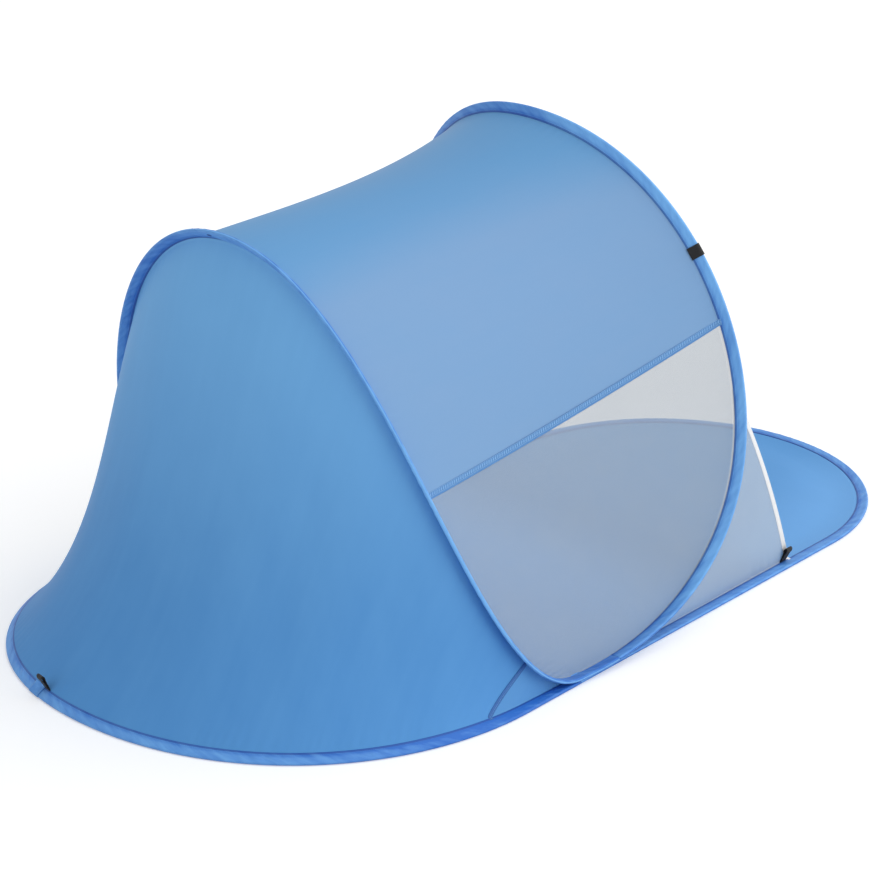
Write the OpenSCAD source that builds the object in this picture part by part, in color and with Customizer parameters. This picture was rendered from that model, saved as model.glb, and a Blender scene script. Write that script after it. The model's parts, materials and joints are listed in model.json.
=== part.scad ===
// Pop-up beach shelter: two sprung hoops in sewn sleeves, with taut sheets between them.
// Millimetres. +X points out of the mouth, +Z is up and the ground is z = 0.
// Far pieces lie at +Y and near pieces at -Y.

/* [Ground hoop] */
// Length of the ground hoop, rear tip to apron tip
ground_length = 2200; // [1900:10:2500]
// Half width where the rear round runs into the straight flank
rear_half_width = 595; // [520:5:680]
// Half width where the flank runs into the apron round
apron_half_width = 450; // [380:5:520]
// Rear tip to the start of the flank, along X
rear_depth = 687; // [600:1:760]
// End of the flank to the apron tip, along X
apron_depth = 397; // [340:1:460]
// Handle length of the curve at the rear tip
rear_tip_round = 400; // [300:5:480]
// Handle length of the curve where the rear round meets the flank
rear_side_round = 380; // [280:5:460]
// Handle length of the curve round the apron
apron_round = 230; // [160:5:300]

/* [Canopy hoop] */
// Place of the front arch's top along X
front_apex_x = 200; // [100:2:300]
// Height of the front arch, ground to rod
front_height = 1014; // [850:2:1150]
// Handle length across the top of the front arch
front_shoulder = 653; // [560:1:800]
// Handle length with which the front arch sweeps back to its foot
front_sweep = 850; // [650:5:950]
// Place of the rear arch's top along X
rear_apex_x = -690; // [-800:1:-600]
// How much lower the rear arch stands than the front arch
rear_drop = 74; // [0:1:160]
// Handle length across the top of the rear arch
rear_shoulder = 486; // [400:1:620]
// Handle length with which the rear arch leaves its foot
rear_sweep = 305; // [240:5:420]
// Place along X where both arches reach the ground
foot_x = -240; // [-330:5:-150]
// How far the foot stands outside the ground hoop's rod
foot_outset = 5; // [2:0.5:12]
// Turn of the loop towards the centre line at its foot, in degrees
toe_in = 2.75; // [0:0.25:6]

/* [Sleeves and rods] */
// Diameter of the sprung rods
rod_d = 5; // [4:0.5:7]
// Width of the flat sleeve, rod to mouth
sleeve_width = 30; // [24:1:40]
// Thickness of the folded sleeve tape
tape_t = 1.2; // [0.8:0.1:2]
// Room between a rod and its sleeve
rod_slack = 0.4; // [0.3:0.05:0.8]
// Thickness of every sheet
sheet_t = 1.6; // [1.2:0.1:2.4]
// Room between two sewn layers, and between pieces that meet edge to edge
edge_gap = 0.4; // [0.3:0.05:0.6]
// Depth of a sheet's edge inside the sleeve
grip = 8; // [5:0.5:14]
// How far a sheet runs straight out of the sleeve before it turns
lip = 2.5; // [2:0.5:5]
// Tilt of the ground sleeve round the rear, in degrees
rear_tilt = 48; // [20:1:60]
// Tilt of the ground sleeve along the flank and apron, in degrees
apron_tilt = 5; // [3:1:15]
// Distance behind the foot, along X, over which the ground sleeve turns from one tilt to the other
tilt_ease = 480; // [300:10:600]
// Height below which the arches' sleeves turn to lie flat at the foot
foot_ease = 300; // [200:10:400]

/* [Sheets] */
// Height at which the roof hem meets the front arch
front_hem_height = 652; // [520:2:720]
// Height at which the roof hem meets the rear arch
rear_hem_height = 478; // [380:2:560]
// Width of the folded hem along the roof's two sides
roof_hem = 18; // [12:1:26]
// Width of the white hem along each wing's free edge
wing_hem = 14; // [10:1:20]
// Place of a wing's lower corner along X
wing_corner_x = 545; // [420:5:640]
// Place where the gusset seam reaches the ground, along X
gusset_x = -511; // [-600:1:-430]
// Inward dip of the roof at the middle of its ridge
roof_dip = 21; // [0:1:40]
// Inward dip of the windows at the middle of their upper edge
window_dip = 10; // [0:1:30]
// Inward dip of the rear wall at the middle of its longest line
wall_dip = 60; // [0:1:80]
// How far that dip gathers towards the ground, as a share of it
wall_low = 0.7; // [0:0.05:0.9]
// Outward belly of the wings at the middle of their free edge
wing_belly = 26; // [0:1:40]
// Width of the folded seam between the rear wall and each gusset
gusset_seam = 10; // [6:1:16]
// Width over which the groundsheet climbs to its sleeve
floor_rise = 60; // [40:5:90]

/* [Webbing] */
// Width of the webbing of the peg loops
loop_width = 20; // [15:1:25]
// Radius inside a peg loop
loop_r = 6; // [5:0.5:9]
// Thickness of the webbing
webbing_t = 2; // [1.5:0.1:3]
// Length of a peg loop's sewn tail
loop_tail = 25; // [10:1:32]
// Outward lean of the front peg loops on their sleeve, in degrees
loop_lean = 19; // [0:1:40]
// Inward lean of the rear peg loop on its tilted sleeve, in degrees
rear_loop_lean = 20; // [0:1:30]
// Distance of the rear peg loop from the centre line, along Y
rear_loop_y = 134; // [0:2:200]
// Width of the webbing wrapped round the front arch
band_width = 30; // [20:1:40]
// Height of that webbing on the front arch
band_height = 790; // [740:2:860]
// Length of the lap where the ground sleeve's two ends meet, behind the rear peg loop
lap_length = 40; // [25:1:60]

/* [Fineness] */
// Stretches from an arch's top to the roof hem
roof_cols = 11; // [9:1:14]
// Stretches from the roof hem to the foot
side_cols = 12; // [10:1:14]
// Stretch after the hem at which a wing starts
wing_from = 2; // [2:1:5]
// Stretch after the hem at which the gusset starts
gusset_from = 8; // [6:1:9]
// Stretches from a wing's corner round to the apron tip
apron_cols = 12; // [10:1:18]
// Steps across a sheet
sheet_rows = 8; // [6:1:10]

/* [Hidden] */
rod_r = rod_d / 2;
bulb_in = rod_r + rod_slack;
bulb_out = bulb_in + tape_t;
slot_half = sheet_t + 1.5 * edge_gap;
leg_half = slot_half + tape_t;
layer_v = (sheet_t + edge_gap) / 2;
fold_t = 2 * sheet_t;
arch_cols = roof_cols + side_cols;
wing_col = roof_cols + wing_from;
gusset_col = roof_cols + gusset_from;
ground_top = bulb_out + max(bulb_out, sleeve_width * sin(apron_tilt) + leg_half);

function unit(v) = v / norm(v);
function bez(p, t) =
    pow(1 - t, 3) * p[0] + 3 * t * pow(1 - t, 2) * p[1] + 3 * t * t * (1 - t) * p[2] + pow(t, 3) * p[3];
function bez_dir(p, t) =
    unit(pow(1 - t, 2) * (p[1] - p[0]) + 2 * t * (1 - t) * (p[2] - p[1]) + t * t * (p[3] - p[2]));
function smooth(x) = let (c = min(max(x, 0), 1)) c * c * (3 - 2 * c);
function mirrored(frame) = [for (v = frame) [v.x, -v.y, v.z]];

// The ground hoop's far half: rear round, straight flank, apron round, one curve each.
// Its stations run from 0 at the rear tip to 3 at the apron tip, negative on the near half.
rear_tip = [-ground_length / 2, 0, bulb_out];
apron_tip = [ground_length / 2, 0, bulb_out];
flank_start = [rear_tip.x + rear_depth, rear_half_width, bulb_out];
flank_end = [apron_tip.x - apron_depth, apron_half_width, bulb_out];
flank = unit(flank_end - flank_start);
ground_curves = [
    [rear_tip, rear_tip + [0, rear_tip_round, 0], flank_start - rear_side_round * flank, flank_start],
    [flank_start, (2 * flank_start + flank_end) / 3, (flank_start + 2 * flank_end) / 3, flank_end],
    [flank_end, flank_end + apron_round * flank, apron_tip + [0, apron_round, 0], apron_tip]
];
function flank_station(x) = 1 + (x - flank_start.x) / (flank_end.x - flank_start.x);
foot_station = flank_station(foot_x);
corner_station = flank_station(wing_corner_x);

// The place on a curve, from 0 to 1, at which one of its axes reaches a value, by halving
halvings = 20;
function curve_at(curve, axis, value, lo = 0, hi = 1, left = halvings) =
    let (mid = (lo + hi) / 2, rises = curve[3][axis] > curve[0][axis])
    let (short = rises == (bez(curve, mid)[axis] < value))
    left == 0 ? mid : curve_at(curve, axis, value, short ? mid : lo, short ? hi : mid, left - 1);
gusset_station = curve_at(ground_curves[0], 0, gusset_x);
rear_loop_station = curve_at(ground_curves[0], 1, rear_loop_y);
lap_station = ((loop_width + lap_length) / 2 + 2 * webbing_t) / (3 * rear_tip_round);
front_loop_station = corner_station - loop_width / 2 / norm(flank_end - flank_start);

// The canopy hoop's far half: each arch is one curve from its top to the shared foot
foot = bez(ground_curves[1], foot_station - 1) + [0, foot_outset, ground_top];
toe = [cos(toe_in), -sin(toe_in), 0];
front_curve = [
    [front_apex_x, 0, front_height],
    [front_apex_x, front_shoulder, front_height],
    foot + front_sweep * toe,
    foot
];
rear_height = front_height - rear_drop;
rear_curve = [
    [rear_apex_x, 0, rear_height],
    [rear_apex_x, rear_shoulder, rear_height],
    foot - rear_sweep * toe,
    foot
];
front_hem_at = curve_at(front_curve, 2, front_hem_height);
rear_hem_at = curve_at(rear_curve, 2, rear_hem_height);
band_at = curve_at(front_curve, 2, band_height);
// The sheets dip towards the middle of the cabin, a third of the way up. The arches' sleeves point
// away from it, and from the floor below it at the foot, where they lie flat.
cabin_centre = [foot_x, 0, front_height / 3];
function sleeve_centre(p) = [cabin_centre.x, cabin_centre.y, cabin_centre.z * smooth(p.z / foot_ease)];

// A frame is the rod's place, the way from the sleeve's mouth out to the rod, and the way across
// the sleeve: forwards on the arches, upwards on the ground hoop.
function arch_frame(curve, t) =
    let (p = bez(curve, abs(t)), along = bez_dir(curve, abs(t)), away = p - sleeve_centre(p))
    let (out = unit(away - (away * along) * along), frame = [p, out, cross(along, out)])
    t < 0 ? mirrored(frame) : frame;
function tilt_at(x) = apron_tilt + (rear_tilt - apron_tilt) * smooth((foot_x - x) / tilt_ease);
function ground_frame(station) =
    let (s = abs(station), k = min(floor(s), 2), p = bez(ground_curves[k], s - k))
    let (along = bez_dir(ground_curves[k], s - k), out = [-along.y, along.x, 0], tilt = tilt_at(p.x))
    let (frame = [p, cos(tilt) * out - [0, 0, sin(tilt)], sin(tilt) * out + [0, 0, cos(tilt)]])
    station < 0 ? mirrored(frame) : frame;

// Columns are counted from an arch's top, negative on the near half, and may be fractions
function arch_t(hem_at, i) =
    let (n = abs(i), past = (n - roof_cols) / side_cols)
    sign(i) * (n <= roof_cols ? hem_at * n / roof_cols : hem_at + (1 - hem_at) * past);
function front_frame(i) = arch_frame(front_curve, arch_t(front_hem_at, i));
function rear_frame(i) = arch_frame(rear_curve, arch_t(rear_hem_at, i));
function wall_frame(i) =
    let (n = abs(i), past = (n - gusset_col) / (arch_cols - gusset_col))
    ground_frame(sign(i) * (n <= gusset_col ? gusset_station * n / gusset_col
        : gusset_station + (foot_station - gusset_station) * past));
function wing_station(i) =
    corner_station + (foot_station - corner_station) * (i - wing_col) / (arch_cols - wing_col);
function wing_frame(i) = ground_frame(sign(i) * wing_station(abs(i)));

// Hem widths and one gap, in columns
column = norm(front_frame(roof_cols)[0] - front_frame(roof_cols - 1)[0]);
hem_half = roof_hem / 2 / column;
gap = edge_gap / column;
wing_edge = wing_hem / norm(wing_frame(wing_col)[0] - wing_frame(wing_col + 1)[0]);
seam_half = gusset_seam / 2 / norm(wall_frame(gusset_col)[0] - wall_frame(gusset_col - 1)[0]);

// Dips as shares of the span at the place where each is measured
function span(from, to) = norm(to[0] - from[0]);
roof_share = roof_dip / span(rear_frame(0), front_frame(0));
window_share = window_dip / span(rear_frame(roof_cols), front_frame(roof_cols));
wall_share = wall_dip / span(rear_frame(0), wall_frame(0));
wing_share = -wing_belly / span(front_frame(wing_col), wing_frame(wing_col));
// The rear wall's dip dies away from the roof hem's column to the foot, and the wings' belly from their
// free edge
function wall_share_at(i) = wall_share * smooth((arch_cols - abs(i)) / side_cols);
function wing_share_at(i) = wing_share * smooth((arch_cols - abs(i)) / (arch_cols - wing_col));

// The sleeve's profile: tape folded round the rod, its two legs left open at the mouth.
// On the inside each leg has a point where the sheets in it end.
nose = [-90, -45, 0, 45, 90];
grip_end = [grip - sleeve_width, slot_half + (bulb_in - slot_half) * grip / sleeve_width];
sleeve_profile = concat(
    [[-sleeve_width, -leg_half]],
    [for (a = nose) bulb_out * [cos(a), sin(a)]],
    [[-sleeve_width, leg_half], [-sleeve_width, slot_half], grip_end],
    [for (a = nose) bulb_in * [cos(a), -sin(a)]],
    [[grip_end.x, -grip_end.y], [-sleeve_width, -slot_half]]
);
rod_profile = [for (a = [0 : 60 : 300]) rod_r * [cos(a), sin(a)]];

// Sweeps a profile through frames, closed into a loop or capped at both ends.
// The diagonals lie the same way on both faces of a fold and are mirrored about the middle frame.
module sweep(frames, profile, closed = false) {
    n = len(profile);
    m = len(frames);
    points = [for (f = frames, q = profile) f[0] + q[0] * f[1] + q[1] * f[2]];
    sides = [
        for (i = [0 : m - (closed ? 1 : 2)], j = [0 : n - 1])
        let (a = i * n, b = (i + 1) % m * n, k = (j + 1) % n)
        each (i < floor(m / 2)) == (profile[k].x > profile[j].x)
            ? [[a + j, b + j, a + k], [b + j, b + k, a + k]]
            : [[a + j, b + j, b + k], [a + j, b + k, a + k]]
    ];
    caps = closed ? [] : [[for (j = [0 : n - 1]) j], [for (j = [n - 1 : -1 : 0]) (m - 1) * n + j]];
    polyhedron(points, concat(sides, caps));
}

// A point in the sleeve's slot, on one side of the fold, at a depth behind the mouth
function slot(frame, side, depth) =
    frame[0] - (sleeve_width - depth) * frame[1] + side * layer_v * frame[2];

// One line of sewing across a sheet: from one sleeve's mouth to another's, dipping to the cabin.
// A thicker strip is trimmed at both ends, to stay clear of the mouths. A low dip lies nearer the end.
function ruling(from, from_side, to, to_side, dip, trim = 0, low = 0) =
    let (a = slot(from, from_side, -lip), b = slot(to, to_side, -lip), length = norm(b - a))
    let (d = (b - a) / length, inward = cabin_centre - (a + b) / 2, n = unit(inward - (inward * d) * d))
    let (start = trim / length)
    [for (k = [0 : sheet_rows]) let (r = start + (1 - 2 * start) * k / sheet_rows)
        a + r * (b - a) + 4 * r * (1 - r) * (1 + low * (2 * r - 1)) * dip * length * n];
function sewn(from, from_side, to, to_side, dip, low = 0) = concat(
    [slot(from, from_side, grip)],
    ruling(from, from_side, to, to_side, dip, low = low),
    [slot(to, to_side, grip)]
);

// Each four-sided face as two triangles
function halves(quads) = [for (q = quads) each [[q[0], q[1], q[2]], [q[0], q[2], q[3]]]];

// Thickens a grid of points into a sheet
module sheet(grid, thick = sheet_t) {
    m = len(grid) - 1;
    n = len(grid[0]) - 1;
    w = n + 1;
    normals = [
        for (i = [0 : m], j = [0 : n])
        let (along = grid[min(i + 1, m)][j] - grid[max(i - 1, 0)][j])
        let (across = grid[i][min(j + 1, n)] - grid[i][max(j - 1, 0)])
        unit(cross(along, across))
    ];
    mids = [for (column = grid) each column];
    count = len(mids);
    points = concat(mids + thick / 2 * normals, mids - thick / 2 * normals);
    quads = concat(
        [for (i = [0 : m - 1], j = [0 : n - 1]) let (a = i * w + j) [a, a + 1, a + w + 1, a + w]],
        [for (i = [0 : m - 1], j = [0 : n - 1]) let (a = count + i * w + j) [a, a + w, a + w + 1, a + 1]],
        [for (i = [0 : m - 1]) let (a = i * w) [count + a, a, a + w, count + a + w]],
        [for (i = [0 : m - 1]) let (a = i * w + n) [count + a, count + a + w, a + w, a]],
        [for (j = [0 : n - 1]) [count + j, count + j + 1, j + 1, j]],
        [for (j = [0 : n - 1]) let (a = m * w + j) [count + a, a, a + 1, count + a + 1]]
    );
    polyhedron(points, halves(quads));
}

// Rings of the two hoops, in order round each loop
arch_columns = [for (i = [-arch_cols : arch_cols]) i];
butt = edge_gap / 2 / norm(front_frame(arch_cols)[0] - front_frame(arch_cols - 1)[0]);
rear_columns = [for (i = arch_columns) sign(i) * min(abs(i), arch_cols - butt)];
apron_half = concat(
    [foot_station + edge_gap / norm(flank_end - flank_start)],
    [for (i = [arch_cols - 1 : -1 : wing_col]) wing_station(i)],
    [for (k = [1 : apron_cols]) corner_station + (3 - corner_station) * k / apron_cols]
);
apron_stations = concat(apron_half, [for (k = [len(apron_half) - 2 : -1 : 0]) -apron_half[k]]);
ground_frames = concat(
    [for (i = rear_columns) wall_frame(i)],
    [for (s = apron_stations) ground_frame(s)]
);
function front_frame_back(i) = let (f = front_frame(i)) [f[0], f[1], -f[2]];
canopy_frames = concat(
    [for (i = arch_columns) rear_frame(i)],
    [for (i = [arch_cols - 1 : -1 : -arch_cols + 1]) front_frame_back(i)]
);
// The arches' sleeves meet a little way up the front arch
sleeve_join = arch_cols - 1;

// Sets a flat outline upright on the sleeve at a frame, across its mouth
module on_sleeve(frame, thick) {
    along = cross(frame[1], frame[2]);
    multmatrix([for (k = [0 : 2]) [frame[1][k], frame[2][k], along[k], frame[0][k]]])
        linear_extrude(thick, center = true) children();
}

// Groundsheet, flat on the sand and climbing to the ground sleeve all round
module groundsheet() {
    n = len(ground_frames);
    half = sheet_t / 2;
    rings = [
        [for (f = ground_frames) [slot(f, -1, grip), half * f[2]]],
        [for (f = ground_frames) [slot(f, -1, -lip), half * f[2]]],
        [for (f = ground_frames) let (q = f[0] - (sleeve_width + floor_rise) * unit([f[1].x, f[1].y, 0]))
            [[q.x, q.y, half], [0, 0, half]]]
    ];
    flat = [for (ring = rings) each ring];
    top = [for (p = flat) p[0] + p[1]];
    under = [for (p = flat) p[0] - p[1]];
    count = len(flat);
    quads = concat(
        [for (r = [0, n], i = [0 : n - 1]) let (a = r + i, b = r + (i + 1) % n) [a, b, b + n, a + n]],
        [for (r = [count, count + n], i = [0 : n - 1]) let (a = r + i, b = r + (i + 1) % n)
            [a, a + n, b + n, b]],
        [for (i = [0 : n - 1]) let (b = (i + 1) % n) [i, count + i, count + b, b]]
    );
    caps = [[for (i = [0 : n - 1]) 2 * n + i], [for (i = [n - 1 : -1 : 0]) count + 2 * n + i]];
    color("steelblue") polyhedron(concat(top, under), concat(halves(quads), caps));
}

// Sprung rod of the ground hoop, one closed loop inside its sleeves
module ground_rod() {
    color("dimgray") sweep(ground_frames, rod_profile, closed = true);
}

// Ground sleeve round the rear, from foot to foot, tilted up by the wall
module ground_sleeve_rear() {
    color("royalblue") sweep([for (i = rear_columns) wall_frame(i)], sleeve_profile);
}

// Ground sleeve round the apron, from foot to foot, flat on the sand
module ground_sleeve_apron() {
    color("royalblue") sweep([for (s = apron_stations) ground_frame(s)], sleeve_profile);
}

// Sprung rod of the canopy, one closed saddle of two arches
module canopy_rod() {
    color("dimgray") sweep(canopy_frames, rod_profile, closed = true);
}

// Sleeve of the front arch, from one join to the other
module front_arch_sleeve() {
    end = sleeve_join - butt;
    columns = concat([-end], [for (i = [1 - sleeve_join : sleeve_join - 1]) i], [end]);
    color("royalblue") sweep([for (i = columns) front_frame(i)], sleeve_profile);
}

// Sleeve of the rear arch, which runs on round both feet to meet the front one
module rear_arch_sleeve() {
    end = sleeve_join + butt;
    rear = [for (i = arch_columns) rear_frame(i)];
    color("royalblue")
        sweep(concat([front_frame_back(-end)], rear, [front_frame_back(end)]), sleeve_profile);
}

// Sheet between the arches over a list of columns
function canopy_grid(columns, dip) = [for (i = columns) sewn(rear_frame(i), 1, front_frame(i), -1, dip)];

// Roof, stretched between the arches from hem to hem
module roof() {
    end = roof_cols - hem_half - gap;
    columns = concat([-end], [for (i = [1 - roof_cols : roof_cols - 1]) i], [end]);
    color("cornflowerblue") sheet(canopy_grid(columns, roof_share));
}

// Folded double hem along the roof's lower edge
module roof_hem_strip(side) {
    dip = (roof_share + window_share) / 2;
    columns = side * [roof_cols - hem_half, roof_cols + hem_half];
    color("royalblue")
        sheet([for (i = columns) ruling(rear_frame(i), 1, front_frame(i), -1, dip, fold_t)], fold_t);
}

// Mesh window, from the roof hem down to the foot
module mesh_window(side) {
    columns = concat([roof_cols + hem_half + gap], [for (i = [roof_cols + 1 : arch_cols - 1]) i]);
    color("whitesmoke", 0.6) sheet(canopy_grid(side * columns, window_share));
}

// Sheet between the rear arch and the ground over a list of columns
function wall_grid(columns) =
    [for (i = columns) sewn(rear_frame(i), -1, wall_frame(i), 1, wall_share_at(i), wall_low)];

// Rear wall, from the rear arch down to the ground sleeve, seam to seam
module rear_wall() {
    end = gusset_col - seam_half - gap;
    columns = concat([-end], [for (i = [1 - gusset_col : gusset_col - 1]) i], [end]);
    color("cornflowerblue") sheet(wall_grid(columns));
}

// Folded seam between the rear wall and a gusset
module gusset_seam_strip(side) {
    columns = side * [gusset_col - seam_half, gusset_col + seam_half];
    color("royalblue") sheet(
        [for (i = columns) ruling(rear_frame(i), -1, wall_frame(i), 1, wall_share_at(i), fold_t, wall_low)],
        fold_t
    );
}

// Gusset between the rear wall's seam and the foot
module gusset(side) {
    columns = concat([gusset_col + seam_half + gap], [for (i = [gusset_col + 1 : arch_cols - 1]) i]);
    color("cornflowerblue") sheet(wall_grid(side * columns));
}

// Mesh wing between the front arch's lower part and the ground
module wing(side) {
    columns = concat([wing_col + gap], [for (i = [wing_col + 1 : arch_cols - 1]) i]);
    color("whitesmoke", 0.6)
        sheet([for (i = side * columns) sewn(front_frame(i), 1, wing_frame(i), 1, wing_share_at(i))]);
}

// White double hem along a wing's free edge
module wing_hem_strip(side) {
    columns = side * [wing_col - wing_edge, wing_col];
    color("white") sheet(
        [for (i = columns) ruling(front_frame(i), 1, wing_frame(i), 1, wing_share, 2 * fold_t)],
        fold_t
    );
}

// Webbing loop for a peg, its tail sewn across the ground sleeve
module peg_loop(frame, lean = 0) {
    outer = loop_r + webbing_t;
    seat = [grip - sleeve_width, leg_half + edge_gap + webbing_t * sin(abs(lean))];
    color("black") on_sleeve(frame, loop_width) translate(seat) rotate(-lean) difference() {
        union() {
            translate([0, loop_tail + loop_r]) circle(outer, $fn = 48);
            translate([-webbing_t, 0]) square([2 * webbing_t, loop_tail]);
        }
        translate([0, loop_tail + loop_r]) circle(loop_r, $fn = 48);
    }
}

// A strip wrapped round a sleeve from mouth to mouth, rounded over the rod.
// A strip that lies on the ground covers the sleeve's upper face only.
module wrap(frame, width, thick, upper_only = false) {
    inner = bulb_out + 2 * edge_gap;
    outer = inner + thick;
    reach = sleeve_width + thick;
    on_sleeve(frame, width) difference() {
        union() {
            circle(outer);
            translate([-sleeve_width, -outer]) square([sleeve_width, 2 * outer]);
        }
        circle(inner);
        translate([-reach, -inner]) square([reach, 2 * inner]);
        if (upper_only) translate([-reach, -outer]) square([2 * reach, 1.5 * outer]);
    }
}

// Webbing wrapped round the front arch's sleeve and sewn at its mouth
module arch_band(side) {
    color("black") wrap(arch_frame(front_curve, side * band_at), band_width, webbing_t);
}

// Lap of tape that covers the join of the ground sleeve's two ends
module ground_sleeve_lap() {
    color("royalblue")
        wrap(ground_frame(rear_loop_station + lap_station), lap_length, tape_t, upper_only = true);
}

groundsheet();
ground_rod();
ground_sleeve_rear();
ground_sleeve_apron();
canopy_rod();
front_arch_sleeve();
rear_arch_sleeve();
roof();
roof_hem_strip(-1);  // roof_hem_near
roof_hem_strip(1);  // roof_hem_far
mesh_window(-1);  // window_near
mesh_window(1);  // window_far
rear_wall();
gusset_seam_strip(-1);  // gusset_seam_near
gusset_seam_strip(1);  // gusset_seam_far
gusset(-1);  // gusset_near
gusset(1);  // gusset_far
wing(-1);  // wing_near
wing(1);  // wing_far
wing_hem_strip(-1);  // wing_hem_near
wing_hem_strip(1);  // wing_hem_far
peg_loop(ground_frame(rear_loop_station), -rear_loop_lean);  // rear_peg_loop
peg_loop(ground_frame(-front_loop_station), loop_lean);  // front_peg_loop_near
peg_loop(ground_frame(front_loop_station), loop_lean);  // front_peg_loop_far
arch_band(-1);  // arch_band_near
arch_band(1);  // arch_band_far
ground_sleeve_lap();
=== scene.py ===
import json
import math

import bpy
import numpy as np
from mathutils import Matrix, Vector
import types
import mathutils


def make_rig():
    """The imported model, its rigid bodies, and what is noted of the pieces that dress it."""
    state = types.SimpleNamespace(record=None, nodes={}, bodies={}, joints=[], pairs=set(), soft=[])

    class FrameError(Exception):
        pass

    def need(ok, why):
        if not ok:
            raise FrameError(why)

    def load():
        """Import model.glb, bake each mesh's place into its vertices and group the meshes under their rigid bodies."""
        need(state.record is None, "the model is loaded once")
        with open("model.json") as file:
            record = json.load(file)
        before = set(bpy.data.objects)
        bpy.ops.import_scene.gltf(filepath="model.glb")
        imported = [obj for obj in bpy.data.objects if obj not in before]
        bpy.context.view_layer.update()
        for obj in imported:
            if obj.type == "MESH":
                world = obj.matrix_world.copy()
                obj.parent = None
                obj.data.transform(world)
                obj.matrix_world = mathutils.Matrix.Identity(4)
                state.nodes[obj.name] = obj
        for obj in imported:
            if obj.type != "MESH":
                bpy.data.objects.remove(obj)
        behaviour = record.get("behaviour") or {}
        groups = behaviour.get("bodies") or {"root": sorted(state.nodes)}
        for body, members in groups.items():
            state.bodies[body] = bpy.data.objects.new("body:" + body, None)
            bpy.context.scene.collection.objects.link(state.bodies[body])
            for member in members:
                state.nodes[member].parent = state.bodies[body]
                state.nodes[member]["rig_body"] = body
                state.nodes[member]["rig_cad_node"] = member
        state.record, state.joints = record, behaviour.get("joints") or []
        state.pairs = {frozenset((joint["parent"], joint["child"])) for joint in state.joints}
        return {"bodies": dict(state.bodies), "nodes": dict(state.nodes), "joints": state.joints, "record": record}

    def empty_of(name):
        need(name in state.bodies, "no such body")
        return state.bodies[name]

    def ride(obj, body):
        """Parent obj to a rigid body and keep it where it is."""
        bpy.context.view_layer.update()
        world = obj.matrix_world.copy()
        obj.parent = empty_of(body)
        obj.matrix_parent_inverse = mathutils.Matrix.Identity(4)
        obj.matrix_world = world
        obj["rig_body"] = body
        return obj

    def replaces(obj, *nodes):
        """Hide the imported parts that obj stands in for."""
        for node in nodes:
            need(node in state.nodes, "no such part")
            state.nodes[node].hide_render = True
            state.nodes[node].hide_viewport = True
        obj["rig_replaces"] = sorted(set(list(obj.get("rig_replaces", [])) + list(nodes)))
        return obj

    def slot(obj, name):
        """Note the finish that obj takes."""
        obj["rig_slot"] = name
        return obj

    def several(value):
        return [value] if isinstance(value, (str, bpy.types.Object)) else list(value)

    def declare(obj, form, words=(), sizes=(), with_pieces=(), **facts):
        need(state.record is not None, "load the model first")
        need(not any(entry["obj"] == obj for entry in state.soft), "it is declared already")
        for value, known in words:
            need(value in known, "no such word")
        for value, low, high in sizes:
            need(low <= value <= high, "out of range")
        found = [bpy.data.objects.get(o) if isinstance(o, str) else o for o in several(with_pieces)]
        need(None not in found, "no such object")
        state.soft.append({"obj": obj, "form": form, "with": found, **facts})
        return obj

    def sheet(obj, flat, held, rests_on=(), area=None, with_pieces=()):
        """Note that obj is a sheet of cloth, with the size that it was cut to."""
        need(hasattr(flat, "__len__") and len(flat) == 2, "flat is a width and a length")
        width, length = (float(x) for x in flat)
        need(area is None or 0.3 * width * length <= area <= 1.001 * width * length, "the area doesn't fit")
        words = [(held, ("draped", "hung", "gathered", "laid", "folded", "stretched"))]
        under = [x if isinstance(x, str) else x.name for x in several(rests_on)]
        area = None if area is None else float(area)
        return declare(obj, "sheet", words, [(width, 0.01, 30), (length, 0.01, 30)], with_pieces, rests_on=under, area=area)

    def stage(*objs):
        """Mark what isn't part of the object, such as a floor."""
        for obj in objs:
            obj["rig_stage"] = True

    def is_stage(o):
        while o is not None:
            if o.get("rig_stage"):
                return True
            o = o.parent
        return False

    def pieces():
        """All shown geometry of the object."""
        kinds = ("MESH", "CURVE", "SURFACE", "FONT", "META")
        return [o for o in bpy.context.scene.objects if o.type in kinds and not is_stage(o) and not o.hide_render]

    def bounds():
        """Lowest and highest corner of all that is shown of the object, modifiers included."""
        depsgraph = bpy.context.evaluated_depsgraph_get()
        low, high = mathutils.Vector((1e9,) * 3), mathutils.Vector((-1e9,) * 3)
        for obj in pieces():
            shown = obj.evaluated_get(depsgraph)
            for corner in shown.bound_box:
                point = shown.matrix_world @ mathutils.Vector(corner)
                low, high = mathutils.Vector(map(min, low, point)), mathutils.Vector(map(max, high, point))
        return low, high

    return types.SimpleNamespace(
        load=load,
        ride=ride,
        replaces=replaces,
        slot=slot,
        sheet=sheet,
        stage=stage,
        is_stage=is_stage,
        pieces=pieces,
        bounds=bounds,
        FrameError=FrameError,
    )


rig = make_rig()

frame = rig.load()
cad_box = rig.bounds()

# Viewpoint: a long lens from behind the shelter's near side, a little above it.
# The lens is so long that the arches hardly converge.
view_azimuth, view_elevation, view_roll = np.radians([-44.39, 21.63, 0.27])
view_distance = 8.9455
view_target = Vector((-0.0663, 0.0347, 0.3308))
picture_side = 870
focal_pixels = 4145.9

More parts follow.
